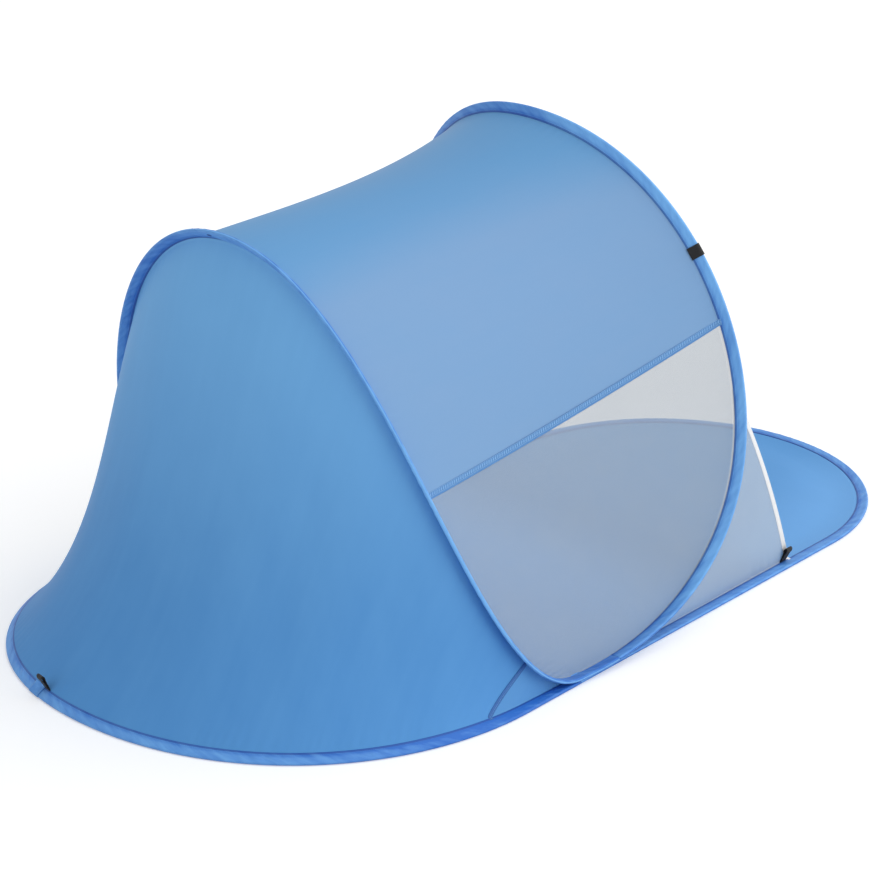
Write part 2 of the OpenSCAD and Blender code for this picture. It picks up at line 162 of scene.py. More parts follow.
back = Vector((
    math.sin(view_azimuth) * math.cos(view_elevation),
    -math.cos(view_azimuth) * math.cos(view_elevation),
    math.sin(view_elevation),
))
right = Vector((0, 0, 1)).cross(back).normalized()
up = back.cross(right)
right, up = (
    right * math.cos(view_roll) + up * math.sin(view_roll),
    up * math.cos(view_roll) - right * math.sin(view_roll),
)
camera_data = bpy.data.cameras.new("camera")
camera_data.lens = camera_data.sensor_width * focal_pixels / picture_side
camera_data.clip_end = 100
camera = bpy.data.objects.new("camera", camera_data)
camera.matrix_world = Matrix.Translation(view_target + view_distance * back) @ Matrix(
    (right, up, back)
).transposed().to_4x4()
bpy.context.scene.collection.objects.link(camera)
bpy.context.scene.camera = camera
bpy.context.scene.view_settings.view_transform = "Standard"


# Studio: a pale floor that runs on into a white surround, one broad lamp over the mouth's near
# side and a weaker one from behind, at a level where a colour renders about as it is written.
class Shade:
    """A socket of a node tree. Arithmetic on values adds Math nodes; make() adds any other node."""

    def __init__(self, tree, socket=None):
        self.tree = tree
        self.socket = socket

    def make(self, kind, inputs=None, settings=None, output=0):
        """A node of one kind: its settings first, then the values or links of its sockets."""
        node = self.tree.nodes.new(kind)
        for key, value in (settings or {}).items():
            setattr(node, key, value)
        for key, value in (inputs or {}).items():
            if isinstance(value, Shade):
                self.tree.links.new(value.socket, node.inputs[key])
            else:
                node.inputs[key].default_value = value
        return Shade(self.tree, node.outputs[output] if node.outputs else None)

    def math(self, operation, *values):
        """A Math node over values, of which some may be plain numbers."""
        return self.make("ShaderNodeMath", dict(enumerate(values)), {"operation": operation})

    def __add__(self, other):
        return self.math("ADD", self, other)

    def __sub__(self, other):
        return self.math("SUBTRACT", self, other)

    def __rsub__(self, other):
        return self.math("SUBTRACT", other, self)

    def __mul__(self, other):
        return self.math("MULTIPLY", self, other)

    def __truediv__(self, other):
        return self.math("DIVIDE", self, other)

    def __lt__(self, other):
        return self.math("LESS_THAN", self, other)

    __radd__ = __add__
    __rmul__ = __mul__


def blank_tree(owner):
    """The owner's node tree, emptied."""
    owner.use_nodes = True
    owner.node_tree.nodes.clear()
    return Shade(owner.node_tree)


def seen_by_eye(tree):
    """One for rays from the camera, and for those that it sees reflected or through glass."""
    rays = tree.make("ShaderNodeLightPath").socket.node.outputs
    camera_ray, glossy_ray, glass_ray = (
        Shade(tree.tree, rays[name])
        for name in ("Is Camera Ray", "Is Glossy Ray", "Is Transmission Ray")
    )
    return tree.math("MAXIMUM", tree.math("MAXIMUM", camera_ray, glossy_ray), glass_ray)


surround_level, surround_tint = 0.50, (0.97, 0.985, 1, 1)
world = bpy.data.worlds.new("surround")
bpy.context.scene.world = world
tree = blank_tree(world)
soft_light = tree.make("ShaderNodeBackground", {"Color": surround_tint, "Strength": surround_level})
white = tree.make("ShaderNodeBackground", {"Color": (1, 1, 1, 1), "Strength": 1.0})
both = tree.make("ShaderNodeMixShader", {0: seen_by_eye(tree), 1: soft_light, 2: white})
tree.make("ShaderNodeOutputWorld", {"Surface": both})

floor_half = 30
floor_drop = 0.0006
floor_grey = 0.84
floor_lift = 0.30
floor_mesh = bpy.data.meshes.new("floor")
floor_mesh.from_pydata(
    [(x * floor_half, y * floor_half, -floor_drop) for x, y in ((-1, -1), (1, -1), (1, 1), (-1, 1))],
    [],
    [(0, 1, 2, 3)],
)
floor = bpy.data.objects.new("floor", floor_mesh)
bpy.context.scene.collection.objects.link(floor)
paint = bpy.data.materials.new("floor_paint")
tree = blank_tree(paint)
plain = {"Base Color": (floor_grey,) * 3 + (1,), "Roughness": 1.0, "Specular IOR Level": 0.0}
matt = tree.make("ShaderNodeBsdfPrincipled", plain)
lifted = tree.make(
    "ShaderNodeBsdfPrincipled",
    {**plain, "Emission Color": (1, 1, 1, 1), "Emission Strength": floor_lift},
)
shown = tree.make("ShaderNodeMixShader", {0: seen_by_eye(tree), 1: matt, 2: lifted})
behind = tree.make("ShaderNodeNewGeometry", output=6)
clear = tree.make("ShaderNodeBsdfTransparent")
one_sided = tree.make("ShaderNodeMixShader", {0: behind, 1: shown, 2: clear})
tree.make("ShaderNodeOutputMaterial", {"Surface": one_sided})
floor_mesh.materials.append(paint)
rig.stage(floor)


def lamp(name, direction, level, spread):
    """A far, broad lamp. At level 1 a white surface that faces it square renders white."""
    data = bpy.data.lights.new(name, "SUN")
    data.energy = math.pi * level
    data.angle = math.radians(spread)
    lit = bpy.data.objects.new(name, data)
    lit.rotation_mode = "QUATERNION"
    lit.rotation_quaternion = Vector(direction).to_track_quat("Z", "Y")
    bpy.context.scene.collection.objects.link(lit)


lamp("main_lamp", (0.52, -0.60, 0.61), 0.64, 100)
lamp("back_lamp", (-0.97, -0.20, 0.10), 0.16, 120)


# Ground hoop: a sprung steel rod bent into one loop, wide and round at the rear and drawn out
# into the apron. It runs in a sleeve of folded blue tape, sewn shut along the sheets' edges.
ground_length = 2.2
rear_half_width, apron_half_width = 0.595, 0.450
rear_depth, apron_depth = 0.687, 0.397
rear_tip_round, rear_side_round, apron_round = 0.400, 0.380, 0.230
foot_x = -0.240
wing_corner_x = 0.545
gusset_x = -0.511
rear_tilt, apron_tilt, tilt_ease = math.radians(48), math.radians(5), 0.480
sleeve_width = 0.0215
bulb = 0.0041
samples = 4001


def bezier(control, t):
    """Cubic curve: four control points weighted by the Bernstein terms of t."""
    a, b, c, d = np.moveaxis(np.asarray(control), -2, 0)
    t = np.asarray(t)[..., None]
    return (1 - t) ** 3 * a + 3 * t * (1 - t) ** 2 * b + 3 * t**2 * (1 - t) * c + t**3 * d


def unit(vectors):
    """Each vector divided by its length."""
    return vectors / np.linalg.norm(vectors, axis=-1, keepdims=True)


def bezier_way(control, t):
    """Unit tangent of the cubic: its derivative, made one long."""
    a, b, c, d = np.moveaxis(np.asarray(control), -2, 0)
    t = np.asarray(t)[..., None]
    return unit((1 - t) ** 2 * (b - a) + 2 * t * (1 - t) * (c - b) + t**2 * (d - c))


def eased(x):
    """Smooth step from 0 to 1 over the same span of x, level at both ends."""
    x = np.clip(x, 0, 1)
    return x**2 * (3 - 2 * x)


def crossing(control, axis, value):
    """The parameter at which one coordinate of a curve reaches a value, read off a fine sampling."""
    t = np.linspace(0, 1, samples)
    reached = bezier(control, t)[:, axis]
    order = np.argsort(reached)
    return np.interp(value, reached[order], t[order])


rear_tip = np.array([-ground_length / 2, 0, bulb])
apron_tip = np.array([ground_length / 2, 0, bulb])
flank_start = np.array([rear_tip[0] + rear_depth, rear_half_width, bulb])
flank_end = np.array([apron_tip[0] - apron_depth, apron_half_width, bulb])
flank = unit(flank_end - flank_start)
sideways = np.array([0, 1, 0])
rear_arms = rear_tip + rear_tip_round * sideways, flank_start - rear_side_round * flank
apron_arms = flank_end + apron_round * flank, apron_tip + apron_round * sideways
ground_curves = np.array([
    [rear_tip, *rear_arms, flank_start],
    [flank_start, (2 * flank_start + flank_end) / 3, (flank_start + 2 * flank_end) / 3, flank_end],
    [flank_end, *apron_arms, apron_tip],
])


def flank_station(x):
    """Station along the straight flank, 1 at its start and 2 at its end."""
    return 1 + (x - flank_start[0]) / (flank_end[0] - flank_start[0])


foot_station = flank_station(foot_x)
corner_station = flank_station(wing_corner_x)
gusset_station = crossing(ground_curves[0], 0, gusset_x)


def mirrored(frames, station):
    """Frames of the far half, with y turned over wherever the station is negative."""
    return frames * np.where(np.asarray(station)[:, None, None] < 0, [1, -1, 1], 1)


def ground_frame(station):
    """Rod's place, way from the sleeve's mouth out to the rod, and way up across the sleeve.

    Stations run from 0 at the rear tip over 1 and 2 at the flank's ends to 3 at the apron tip,
    negative on the near half. The sleeve tilts up towards the wall behind the foot.
    """
    s = np.abs(station)
    k = np.minimum(s.astype(int), 2)
    place = bezier(ground_curves[k], s - k)
    along = bezier_way(ground_curves[k], s - k)
    out = np.stack([-along[:, 1], along[:, 0], 0 * s], 1)
    tilt = (apron_tilt + (rear_tilt - apron_tilt) * eased((foot_x - place[:, 0]) / tilt_ease))[:, None]
    lift = np.array([0, 0, 1])
    outward = np.cos(tilt) * out - np.sin(tilt) * lift
    upward = np.sin(tilt) * out + np.cos(tilt) * lift
    return mirrored(np.stack([place, outward, upward], 1), station)


def whole_ground(round_station):
    """Frames for stations counted on past the apron tip, so that 3 to 6 is the near half, backwards."""
    return ground_frame(np.where(round_station <= 3, round_station, round_station - 6))


def way_walked(points, closed=False):
    """Length of a path up to each of its points, and on to the first again if it is closed."""
    legs = np.linalg.norm(np.diff(points, axis=0, append=points[:int(closed)]), axis=1)
    return np.concatenate([[0], np.cumsum(legs)])


def walk(frame_of, start, stop, step):
    """Parameters at even steps along the rod between two ends, and the way walked at each."""
    fine = np.linspace(start, stop, samples)
    walked = way_walked(frame_of(fine)[:, 0])
    even = np.linspace(0, walked[-1], int(walked[-1] / step) + 1)
    return np.interp(even, walked, fine), even


def wander(x, seed):
    """A smooth irregular wave within about -1 to 1: five sines of unrelated lengths and phases."""
    rng = np.random.default_rng(seed)
    pace = rng.uniform(0.5, 1.9, 5)
    start = rng.uniform(0, 2 * np.pi, 5)
    return np.sin(np.asarray(x)[..., None] * pace + start).sum(-1) / 2.6


def swept(frames, outline):
    """Points of an outline, given as ways out and across, carried along a row of frames."""
    place, out, over = (frames[:, None, k] for k in range(3))
    return place + outline[..., :1] * out + outline[..., 1:] * over


def grid_uv(along, across):
    """The cloth's own lengths at each point of a grid: along it by rows, across it by columns."""
    return np.stack(np.broadcast_arrays(along[:, None], across), -1)


def grid_mesh(name, points, uv, wrap=(False, False), capped=False):
    """A mesh over a grid of points: one quad per cell, joined round where it wraps.

    The uv grid has one more column or row than the points where the grid wraps. A capped mesh has a
    flat face over its first row and one over its last.
    """
    m, n = points.shape[:2]
    i, j = np.meshgrid(np.arange(m - 1 + wrap[0]), np.arange(n - 1 + wrap[1]), indexing="ij")
    corners = [(i, j), (i, j + 1), (i + 1, j + 1), (i + 1, j)]
    quads = np.stack([(a % m) * n + b % n for a, b in corners], -1).reshape(-1, 4).tolist()
    corner_uv = np.stack([uv[a, b] for a, b in corners], 2).reshape(-1, 2)
    if capped:
        ends = [np.arange(n)[::-1], (m - 1) * n + np.arange(n)]
        quads += [end.tolist() for end in ends]
        corner_uv = np.concatenate([corner_uv, uv[0, :n][::-1], uv[m - 1, :n]])
    mesh = bpy.data.meshes.new(name)
    mesh.from_pydata(points.reshape(-1, 3).tolist(), [], quads)
    mesh.uv_layers.new(name="cloth").data.foreach_set("uv", corner_uv.astype(np.float32).ravel())
    mesh.polygons.foreach_set("use_smooth", np.ones(len(mesh.polygons), bool))
    return mesh


def piece(name, mesh, material, slot, nodes):
    """Puts a mesh into the scene as a piece on the shelter's one body, standing for its solids."""
    mesh.materials.append(material)
    made = bpy.data.objects.new(name, mesh)
    bpy.context.scene.collection.objects.link(made)
    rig.ride(made, "root")
    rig.replaces(made, *nodes)
    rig.slot(made, slot)
    return made


def cloth_coordinates(tree):
    """The piece's own two lengths in metres, along the cloth and across it."""
    uv = tree.make("ShaderNodeUVMap", settings={"uv_map": "cloth"})
    parts = tree.make("ShaderNodeSeparateXYZ", {0: uv}).socket.node.outputs
    return uv, Shade(tree.tree, parts[0]), Shade(tree.tree, parts[1])


def tone(tree, factor, dark, light):
    """Colour between two, by a factor."""
    low, high = (end if isinstance(end, Shade) else (*end, 1) for end in (dark, light))
    return tree.make(
        "ShaderNodeMix", {"Factor": factor, 6: low, 7: high}, {"data_type": "RGBA"}, output=2
    )


def streaks(tree, uv, along, across, turn=0.0):
    """Noise with so many waves to the metre along a line and across it, turned from the cloth's own."""
    placed = tree.make(
        "ShaderNodeMapping",
        {"Vector": uv, "Rotation": (0, 0, turn), "Scale": (1 / along, 1 / across, 1)},
        {"vector_type": "TEXTURE"},
    )
    return tree.make(
        "ShaderNodeTexNoise", {"Vector": placed, "Scale": 1.0, "Detail": 3.0, "Roughness": 0.55}
    )


def plain_weave(tree, along, across, pitch):
    """Threads over and under one another: a sine along the cloth times one across it."""
    warp, weft = (tree.math("SINE", length * (2 * math.pi / pitch)) for length in (along, across))
    return warp * weft


def between(tree, value, low, high):
    """Smooth step of a value from 0 at one bound to 1 at the other."""
    return tree.make(
        "ShaderNodeMapRange", {"Value": value, "From Min": low, "From Max": high},
        {"interpolation_type": "SMOOTHSTEP"},
    )


def place_along(tree, way):
    """How far the place on the shelter lies along a way, in metres."""
    place = tree.make("ShaderNodeTexCoord", output=3)
    return tree.make("ShaderNodeVectorMath", {0: place, 1: way}, {"operation": "DOT_PRODUCT"}, output=1)


def stitches(tree, along, across, row, pitch=0.0045, thread=0.0011):
    """One on the thread of a row of stitches at a distance across the cloth, in dashes along it."""
    near_row = tree.math("ABSOLUTE", across - row) < thread / 2
    return near_row * (tree.math("FRACT", along / pitch) < 0.7)


def finished(material, tree, base, rough, height, depth, alpha=None, **constants):
    """Closes a cloth material: base colour, roughness and relief into one principled shader."""
    relief = tree.make("ShaderNodeBump", {"Height": height, "Distance": depth, "Strength": 1.0})
    inputs = {"Base Color": base, "Roughness": rough, "Normal": relief}
    inputs.update({key.replace("_", " "): value for key, value in constants.items()})
    if alpha is not None:
        inputs["Alpha"] = alpha
    surface = tree.make("ShaderNodeBsdfPrincipled", inputs)
    tree.make("ShaderNodeOutputMaterial", {"Surface": surface})
    return material


tape_deep, tape_blue = (0.022, 0.150, 0.560), (0.180, 0.460, 0.880)
# tape_dark and lip_dark: the painted shade over the lips, the tape's sewn edges.
tape_dark, lip_dark = (0.012, 0.055, 0.270), 0.62
stitch_inset, lip_width = 0.005, 0.004
weave_pitch = 0.0011
slant_waves, slant_turn, patch_waves = (14, 75), 0.45, (5, 9)
mouth_dim, dim_span = 0.35, (0.004, 0.014)
crease_span, shade_span = (0.0016, 0.0006), (0.0008, 0.0024)
slit_half, slit_inset = (0.0070, 0.0040), 0.0125
tuck_span, dim_join = (-0.050, -0.010), (-0.030, 0.0)


def folded_tape(name, girth, cast=0.05, worn=-0.45, shaded=0.0, gradients=(), bare=None):
    """Blue tape folded round a rod: paler over the rod than in the flat part by its mouth.

    Slanting streaks cross it and a row of stitches runs by its dark lips: the tape's sewn edge, darkened
    with painted shade where the sleeve meets the sheet. The cast lightens the whole tape,
    worn paints a highlight along the fold where it is positive and shade where it is
    negative, and shaded darkens the half above the fold with painted shade. A gradient lightens it
    along a way on the shelter: the way, the two places between which it comes in, and how much. Past
    a place across the shelter, given by bare, a length of tape with its lips tucked in goes on, with
    a small dark slit at the join.
    """
    material = bpy.data.materials.new(name)
    tree = blank_tree(material)
    uv, along, across = cloth_coordinates(tree)
    edge = tree.math("MINIMUM", across, girth - across)
    slant = streaks(tree, uv, *slant_waves, slant_turn)
    patch = streaks(tree, uv, *patch_waves)
    thread = stitches(tree, along, edge, stitch_inset)
    fold = girth / 2
    crease = between(tree, edge, *(fold - inset for inset in crease_span))
    dim = mouth_dim - between(tree, edge, *dim_span) * mouth_dim
    # Painted shade: the lips by the mouth are darkened where the sleeve meets the sheet.
    dark = (edge < lip_width) * lip_dark
    if bare is not None:
        past = place_along(tree, (0, 1, 0)) - bare
        off, aside = past / slit_half[0], (across - slit_inset) / slit_half[1]
        slit = off * off + aside * aside < 1.0
        dim = dim * between(tree, past, *dim_join)
        dark = tree.math("MAXIMUM", dark * between(tree, past, *tuck_span), slit)
    # The crease term is a painted highlight along the fold, and painted shade where it is negative.
    light = slant * 1.1 + patch * 0.3 + cast - 0.20 - dim + 0.2 * thread + worn * crease
    # Painted shade over the half of the tape above the fold.
    if shaded:
        light = light - shaded * between(tree, across, *(fold + past_it for past_it in shade_span))
    for way, start, stop, gain in gradients:
        light = light + gain * between(tree, place_along(tree, way), start, stop)
    light = tree.math("MINIMUM", tree.math("MAXIMUM", light, 0.0), 1.0)
    base = tone(tree, dark, tone(tree, light, tape_deep, tape_blue), tape_dark)
    height = slant * 0.6 + plain_weave(tree, along, edge, weave_pitch) * 0.02 + thread * 0.5
    return finished(
        material, tree, base, 0.42 + 0.2 * patch, height, 0.0006, Specular_IOR_Level=0.35
    )


def teardrop(width, nose, edge, legs=14, turns=11):
    """Outline of a sleeve: two straight legs from the mouth, tangent to the round over the rod.

    Returns (out, across) points in order from the lower edge of the mouth round to the upper one.
    """
    lean = math.asin((nose - edge) / width)
    angle = np.linspace(-np.pi / 2 - lean, np.pi / 2 + lean, turns)
    arc = nose * np.stack([np.cos(angle), np.sin(angle)], 1)
    share = np.linspace(0, 1, legs, endpoint=False)[:, None]
    start = np.array([-width, -edge])
    lower = start + share * (arc[0] - start)
    upper = lower[::-1] * [1, -1]
    return np.concatenate([lower, arc, upper])


mouth_half = 0.0011
pucker_pitch, pucker_depth, pucker_lean = 0.027, 0.0008, 0.8
pucker_stray, stray_pitch, depth_pitch = 3.2, 0.05, 0.07
other_face, held_start = 0.4, 0.006
stitch_dip, stitch_spread = 0.0004, 0.0016
sleeve_step = 0.005


def sleeve(name, node, frame_of, start, stop, seed, **finish):
    """Folded tape swept along a rod.

    The teardrop outline is pushed out and in along its own normal by slanting puckers, sine waves
    whose pitch and depth wander so far that some merge and others vanish, and dips along the row of
    stitches by its mouth. Over the rod the puckers only swell.
    """
    parameter, walked = walk(frame_of, start, stop, sleeve_step)
    frames = frame_of(parameter)
    outline = teardrop(sleeve_width, bulb, mouth_half)
    round_it = way_walked(outline, closed=True)
    girth = round_it[len(outline) - 1]
    edge = np.minimum(round_it[:-1], girth - round_it[:-1])
    way = unit(np.roll(outline, -1, 0) - np.roll(outline, 1, 0))
    normal = np.stack([way[:, 1], -way[:, 0]], 1)
    upper = outline[:, 1] > 0
    slanted = walked[:, None] + np.where(upper, 1, -1) * pucker_lean * edge + other_face * upper
    phase = 2 * np.pi * slanted / pucker_pitch + pucker_stray * wander(slanted / stray_pitch, seed)
    depth = pucker_depth * np.clip(0.3 + 0.9 * wander(slanted / depth_pitch, seed + 1), 0, 1.3)
    held = np.clip((edge - held_start) / held_start, 0, 1)
    held = held * np.clip((girth / 2 - edge) / (2 * bulb), 0.05, 1)
    over_rod = np.clip((edge - girth / 2) / bulb + 3.5, 0, 1)
    wave = np.sin(phase)
    wave = np.where(wave < 0, wave * (1 - over_rod), wave)
    push = depth * held * wave - stitch_dip * np.exp(-((edge - stitch_inset) / stitch_spread) ** 2)
    points = swept(frames, outline + push[..., None] * normal)
    mesh = grid_mesh(name, points, grid_uv(walked, round_it), wrap=(False, True), capped=True)
    piece(name, mesh, folded_tape(name, girth, **finish), "blue_tape", [node])


# Painted shade: the rear ground sleeve darkens from its tip towards the foot, where it lies in shade.
painted_shade_to_foot = ((1, 0, 0), -1.05, -0.55, -0.55)
sleeve(
    "rear_ground_sleeve", "ground_sleeve_rear", ground_frame, -foot_station, foot_station, 3,
    cast=0.09, gradients=[painted_shade_to_foot],
)
sleeve("apron_ground_sleeve", "ground_sleeve_apron", whole_ground, foot_station, 6 - foot_station, 5)


def spring_steel(name):
    """Drawn wire: a soft mottle."""
    material = bpy.data.materials.new(name)
    tree = blank_tree(material)
    place = tree.make("ShaderNodeTexCoord", output=3)
    mottle = tree.make("ShaderNodeTexNoise", {"Vector": place, "Scale": 90.0, "Detail": 4.0})
    base = tone(tree, mottle, (0.36, 0.37, 0.38), (0.58, 0.58, 0.57))
    return finished(material, tree, base, 0.28 + 0.25 * mottle, mottle, 0.0002, Metallic=1.0)


rod_radius, rod_sides = 0.0025, 16


def hoop(name, node, frames):
    """A round rod bent into one closed loop: a circle carried along the loop's frames."""
    angle = np.linspace(0, 2 * np.pi, rod_sides + 1)
    ring = rod_radius * np.stack([np.cos(angle), np.sin(angle)], 1)[:-1]
    uv = grid_uv(way_walked(frames[:, 0], closed=True), rod_radius * angle)
    mesh = grid_mesh(name, swept(frames, ring), uv, wrap=(True, True))
    piece(name, mesh, spring_steel(name), "sprung_rod", [node])


round_the_ground = walk(whole_ground, 0, 6, sleeve_step)[0][:-1]
hoop("ground_hoop", "ground_rod", whole_ground(round_the_ground))


# Canopy hoop: a second rod bent into a saddle of two arches that share their feet. The front arch
# stands over the mouth and the rear one leans back; their sleeves are sewn like the ground's.
front_apex_x, front_height, front_shoulder, front_sweep = 0.200, 1.014, 0.653, 0.850
rear_apex_x, rear_height, rear_shoulder, rear_sweep = -0.690, 0.940, 0.486, 0.305
foot_outset, toe_in = 0.005, math.radians(2.75)
front_hem_height, rear_hem_height = 0.642, 0.478
foot_lift = 0.0101
foot_ease = 0.300
join_girth = 1 + 11 / 12
turned_back = [[1], [1], [-1]]

foot = bezier(ground_curves[1], foot_station - 1) + [0, foot_outset, foot_lift]
toe = np.array([math.cos(toe_in), -math.sin(toe_in), 0])
front_apex = np.array([front_apex_x, 0, front_height])
rear_apex = np.array([rear_apex_x, 0, rear_height])
front_arms = front_apex + front_shoulder * sideways, foot + front_sweep * toe
rear_arch_arms = rear_apex + rear_shoulder * sideways, foot - rear_sweep * toe
front_curve = np.array([front_apex, *front_arms, foot])
rear_curve = np.array([rear_apex, *rear_arch_arms, foot])
cabin_centre = np.array([foot_x, 0, front_height / 3])
front_hem = crossing(front_curve, 2, front_hem_height)
rear_hem = crossing(rear_curve, 2, rear_hem_height)


def arch_frame(curve, hem, girth):
    """Rod's place, way out of the cabin, and way forwards across the sleeve.

    Girths run from 0 at an arch's top over 1 at the roof's hem to 2 at the foot, negative on the
    near half. The way out is the way from the cabin's middle, less its part along the rod; lower
    down that middle sinks to the floor, so that the sleeve lies flat at the foot.
    """
    t = np.interp(np.abs(girth), [0, 1, 2], [0, hem, 1])
    place = bezier(curve, t)
    along = bezier_way(curve, t)
    sunk = eased(place[:, 2:] / foot_ease)
    away = place - cabin_centre * np.concatenate([1 + 0 * sunk, 1 + 0 * sunk, sunk], 1)
    out = unit(away - (away * along).sum(-1, keepdims=True) * along)
    return mirrored(np.stack([place, out, np.cross(along, out)], 1), girth)


def front_frame(girth):
    """Frames of the front arch."""
    return arch_frame(front_curve, front_hem, girth)


def rear_frame(girth):
    """Frames of the rear arch."""
    return arch_frame(rear_curve, rear_hem, girth)


def rear_frame_on(girth):
    """Frames of the rear arch, and past its foot at 2 those of the front arch from there upwards."""
    foot_passed = np.abs(girth)[:, None, None] > 2
    onward = front_frame(np.sign(girth) * np.clip(4 - np.abs(girth), 0, 2)) * turned_back
    return np.where(foot_passed, onward, rear_frame(np.clip(girth, -2, 2)))


over_front = walk(front_frame, -2, 2, sleeve_step)[0]
over_rear = walk(rear_frame, 2, -2, sleeve_step)[0][1:-1]
saddle = np.concatenate([front_frame(over_front), rear_frame(over_rear) * turned_back])
hoop("canopy_hoop", "canopy_rod", saddle)
rear_join_y = 0.053
# Painted light: the arch tapes are darker at the top, where their shaded side shows, and lighter lower down.
painted_light_below = ((0, 0, 1), 0.80, 0.45, 0.45)
paler_by_join = ((0, 1, 0), 0.20, rear_join_y, 0.25)
# Painted light: the front arch's tape is lighter on its near shoulder, lit from the near side.
painted_light_near_shoulder = ((0, -0.8, 1), 1.000, 1.085, 0.55)
front_foot_darker = ((0, 0, 1), 0.15, 0.0, -0.45)
rear_foot_darker = ((0, 0, 1), 0.22, 0.0, -0.60)
sleeve(
    "front_arch_tape", "front_arch_sleeve", front_frame, -join_girth, join_girth, 11,
    cast=-0.07, gradients=[painted_light_near_shoulder, painted_light_below, front_foot_darker],
)
# The rear arch's tape takes a painted highlight along its fold and painted shade over its upper half.
sleeve(
    "rear_arch_tape", "rear_arch_sleeve", rear_frame_on, join_girth - 4, 4 - join_girth, 17,
    cast=-0.20, worn=0.50, shaded=0.30, bare=rear_join_y,
    gradients=[painted_light_below, paler_by_join, rear_foot_darker],
)


# Groundsheet: one cut of blue cloth, flat on the sand and caught up all round into the ground
# sleeve, so that its border climbs to the sleeve's mouth behind the foot.
cloth_thick = 0.0006
layer = 0.0005
grip, lip = 0.006, 0.0025
border_rise, border_rows = 0.060, 12
field_rows, field_crowding, spine_share = 38, 1.15, 0.72
swell_height, swell_pitch, swell_onset = 0.0011, (0.09, 0.08), 6
weld_reach = 0.0004
sheet_step = 0.006
sheet_deep, sheet_light = (0.118, 0.348, 0.705), (0.180, 0.450, 0.850)
# Painted light: the groundsheet pales towards the near side and the apron, and glows inside the cabin.
sheet_painted_lighting, sheet_glow = ((0.35, -1, 0), 0.36, 0.62), (0.40, (1, 0, 0), 0.10, 0.45)


def slot(frames, side, depth):
    """A place in a sleeve's slot, on one side of the fold, at a depth behind the mouth."""
    return frames[:, 0] - (sleeve_width - depth) * frames[:, 1] + side * layer * frames[:, 2]


def taffeta(name, deep, light, painted_lighting=None, glow=None):
    """Coated taffeta: a plain weave, long faint streaks down the cloth and a soft mottle.

    Painted light and shade pale the cloth along a way on the shelter: painted_lighting gives the way
    and the places between which it pales. A glow is painted light that the cloth emits in place of
    light coming through it: its level, way and the places between which it dies away.
    """
    material = bpy.data.materials.new(name)
    tree = blank_tree(material)
    uv, along, across = cloth_coordinates(tree)
    mottle = streaks(tree, uv, 7, 5)
    drawn = streaks(tree, uv, 34, 2.5)
    weave = plain_weave(tree, along, across, weave_pitch)
    pale = mottle * 0.7 + drawn * 0.3
    # Painted light and shade: the cloth pales along a way on the shelter.
    if painted_lighting:
        way, *bounds = painted_lighting
        pale = pale * 0.4 + between(tree, place_along(tree, way), *bounds) * 0.8 - 0.1
    base = tone(tree, pale, deep, light)
    height = drawn * 0.35 + mottle * 0.5 + weave * 0.012
    lit = {}
    # Painted light: an emitted glow stands in for light coming through the cloth.
    if glow:
        level, way, *bounds = glow
        reach = between(tree, place_along(tree, way), *bounds)
        lit = {"Emission_Color": tone(tree, reach, deep, (0, 0, 0)), "Emission_Strength": level}
    return finished(
        material, tree, base, 0.50 + 0.12 * mottle, height, 0.0008, Specular_IOR_Level=0.12, **lit
    )


def thicken(made, thick):
    """Gives a sheet its thickness, half to each side."""
    solid = made.modifiers.new("thickness", "SOLIDIFY")
    solid.thickness = thick
    solid.offset = 0


def area_of(points):
    """Area of a grid of points, two triangles to a cell."""
    a, b, c, d = points[:-1, :-1], points[1:, :-1], points[1:, 1:], points[:-1, 1:]
    halves = np.cross(b - a, c - a), np.cross(c - a, d - a)
    return sum(np.linalg.norm(half, axis=-1).sum() / 2 for half in halves)


around, _ = walk(whole_ground, 0, 6, sheet_step)
ring = whole_ground(around[:-1])
level_out = unit(ring[:, 1] * [1, 1, 0])
toe_of_rise = ring[:, 0] * [1, 1, 0] - (sleeve_width + border_rise) * level_out
spine = toe_of_rise * [spine_share, 0, 0]
inward = np.linspace(0, 1, field_rows)[:, None, None] ** field_crowding
field = toe_of_rise + inward * (spine - toe_of_rise)
waves = (wander(field[..., k] / swell_pitch[k], 21 + k) for k in (0, 1))
swell = swell_height * (1 + math.prod(waves))
field[..., 2] = cloth_thick / 2 + swell * np.clip(inward[..., 0] * swell_onset, 0, 1)
mouth = slot(ring, -1, -lip)
climb = np.linspace(0, 1, border_rows)[1:-1, None, None]
border = mouth + climb * (toe_of_rise + [0, 0, cloth_thick / 2] - mouth)
border[..., 2] = mouth[:, 2] + (cloth_thick / 2 - mouth[:, 2]) * (1 - (1 - climb[..., 0]) ** 2)
sheet_points = np.concatenate([slot(ring, -1, grip)[None], mouth[None], border, field]).swapaxes(0, 1)
closed_points = np.concatenate([sheet_points, sheet_points[:1]])
ground_mesh = grid_mesh("groundsheet_cloth", sheet_points, closed_points[..., :2], wrap=(True, False))
groundsheet = piece(
    "groundsheet_cloth", ground_mesh,
    taffeta("groundsheet_cloth", sheet_deep, sheet_light, painted_lighting=sheet_painted_lighting, glow=sheet_glow),
    "blue_cloth", ["groundsheet"],
)
spine_weld = groundsheet.modifiers.new("spine", "WELD")
spine_weld.merge_threshold = weld_reach
thicken(groundsheet, cloth_thick)
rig.sheet(
    groundsheet, flat=(2 * rear_half_width, ground_length), held="stretched",
    area=area_of(closed_points), rests_on=["rear_ground_sleeve", "apron_ground_sleeve"],
)


